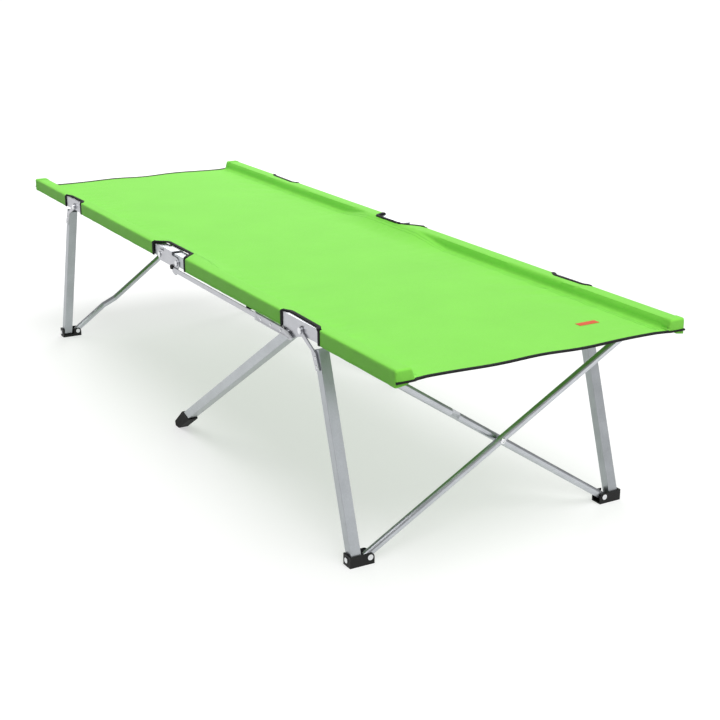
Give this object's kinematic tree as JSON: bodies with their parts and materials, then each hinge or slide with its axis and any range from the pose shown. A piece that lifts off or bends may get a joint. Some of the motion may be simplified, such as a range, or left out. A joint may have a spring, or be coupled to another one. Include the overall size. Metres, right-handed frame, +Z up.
{
  "type": "folding camp bed",
  "caption": "Low folding camp bed: taut green fabric with rail sleeves on jointed metal rails, crossed end frames with black feet, and slanting middle legs.",
  "frame": {"origin": "floor level under the middle of the bed", "axes": "+X along the bed, +Y across it, +Z up"},
  "size_m": [2, 0.6452, 0.4305],
  "materials": {
    "tube": "satin",
    "plate": "zinc plated, satin",
    "steel": "bright",
    "fabric": "woven, matt",
    "plastic": "moulded, matt",
    "rubber": "matt"
  },
  "bodies": {
    "centre": {"bracket_near": "plate", "bracket_far": "plate", "hinge_pin_inner_near": "steel", "hinge_pin_outer_near": "steel", "hinge_pin_inner_far": "steel", "hinge_pin_outer_far": "steel", "fabric_panel_centre": "fabric"},
    "right_half": {"rail_near_right": "tube", "saddle_near_right": "plate", "leg_rivet_near_right": "steel", "sleeve_near_right": "fabric", "rail_far_right": "tube", "saddle_far_right": "plate", "leg_rivet_far_right": "steel", "sleeve_far_right": "fabric", "fabric_panel_right": "fabric", "middle_pin_near": "steel"},
    "right_legs": {"leg_near_right": "tube", "strap_near_right": "plate", "leg_far_right": "tube", "strap_far_right": "plate"},
    "right_cross": {"foot_near_right": "plastic", "foot_rivet_near_right": "steel", "cross_rivet_near_right": "steel", "cross_tube_near_right": "tube", "foot_far_right": "plastic", "foot_rivet_far_right": "steel", "cross_rivet_far_right": "steel", "cross_tube_far_right": "tube", "crossing_rivet_near": "steel"},
    "left_half": {"rail_near_left": "tube", "saddle_near_left": "plate", "leg_rivet_near_left": "steel", "sleeve_near_left": "fabric", "rail_far_left": "tube", "saddle_far_left": "plate", "leg_rivet_far_left": "steel", "sleeve_far_left": "fabric", "fabric_panel_left": "fabric", "middle_pin_far": "steel"},
    "left_legs": {"leg_near_left": "tube", "strap_near_left": "plate", "leg_far_left": "tube", "strap_far_left": "plate"},
    "left_cross": {"foot_near_left": "plastic", "foot_rivet_near_left": "steel", "cross_rivet_near_left": "steel", "cross_tube_near_left": "tube", "foot_far_left": "plastic", "foot_rivet_far_left": "steel", "cross_rivet_far_left": "steel", "cross_tube_far_left": "tube", "crossing_rivet_far": "steel"},
    "middle_leg_near": {"middle_leg_near": "tube", "middle_cap_near": "rubber"},
    "link_near": {"link_near": "plate"},
    "middle_leg_far": {"middle_leg_far": "tube", "middle_cap_far": "rubber"},
    "link_far": {"link_far": "plate"}
  },
  "joints": [
    {"name": "fold", "type": "hinge", "parent": "centre", "child": "right_half", "pos_m": [0.05, 0, 0.408], "axis": [0, -1, 0], "range_deg": [0, 90]},
    {"name": "fold_left", "type": "hinge", "parent": "centre", "child": "left_half", "pos_m": [-0.05, 0, 0.408], "axis": [0, 1, 0], "range_deg": [0, 90]},
    {"name": "right_legs_fold", "type": "hinge", "parent": "right_half", "child": "right_legs", "pos_m": [0.66, 0, 0.4105], "axis": [0, 1, 0], "range_deg": [0, 108]},
    {"name": "left_legs_fold", "type": "hinge", "parent": "left_half", "child": "left_legs", "pos_m": [-0.66, 0, 0.4105], "axis": [0, -1, 0], "range_deg": [0, 108]},
    {"name": "right_cross_turn", "type": "hinge", "parent": "right_legs", "child": "right_cross", "pos_m": [0.839, 0, 0.013], "axis": [0, -1, 0], "range_deg": [0, 24.8]},
    {"name": "left_cross_turn", "type": "hinge", "parent": "left_legs", "child": "left_cross", "pos_m": [-0.839, 0, 0.013], "axis": [0, 1, 0], "range_deg": [0, 24.8]},
    {"name": "middle_leg_near_fold", "type": "hinge", "parent": "right_half", "child": "middle_leg_near", "pos_m": [0.6, -0.302, 0.3915], "axis": [0, 1, 0], "range_deg": [0, 32.57]},
    {"name": "middle_leg_far_fold", "type": "hinge", "parent": "left_half", "child": "middle_leg_far", "pos_m": [-0.6, 0.302, 0.3915], "axis": [0, -1, 0], "range_deg": [0, 32.57]},
    {"name": "link_near_slide", "type": "slide", "parent": "right_half", "child": "link_near", "axis": [-1, 0, 0], "range_m": [0, 0.012]},
    {"name": "link_far_slide", "type": "slide", "parent": "left_half", "child": "link_far", "axis": [1, 0, 0], "range_m": [0, 0.012]}
  ],
  "couplings": [
    {"joint": "fold_left", "follows": "fold", "ratio": 1},
    {"joint": "right_legs_fold", "follows": "fold", "ratio": 1.2},
    {"joint": "left_legs_fold", "follows": "fold", "ratio": 1.2},
    {"joint": "right_cross_turn", "follows": "fold", "ratio": 0.27555},
    {"joint": "left_cross_turn", "follows": "fold", "ratio": 0.27555},
    {"joint": "middle_leg_near_fold", "follows": "fold", "ratio": 0.36186},
    {"joint": "middle_leg_far_fold", "follows": "fold", "ratio": 0.36186},
    {"joint": "link_near_slide", "follows": "fold", "m_per_rad": 0.00763},
    {"joint": "link_far_slide", "follows": "fold", "m_per_rad": 0.00763}
  ]
}
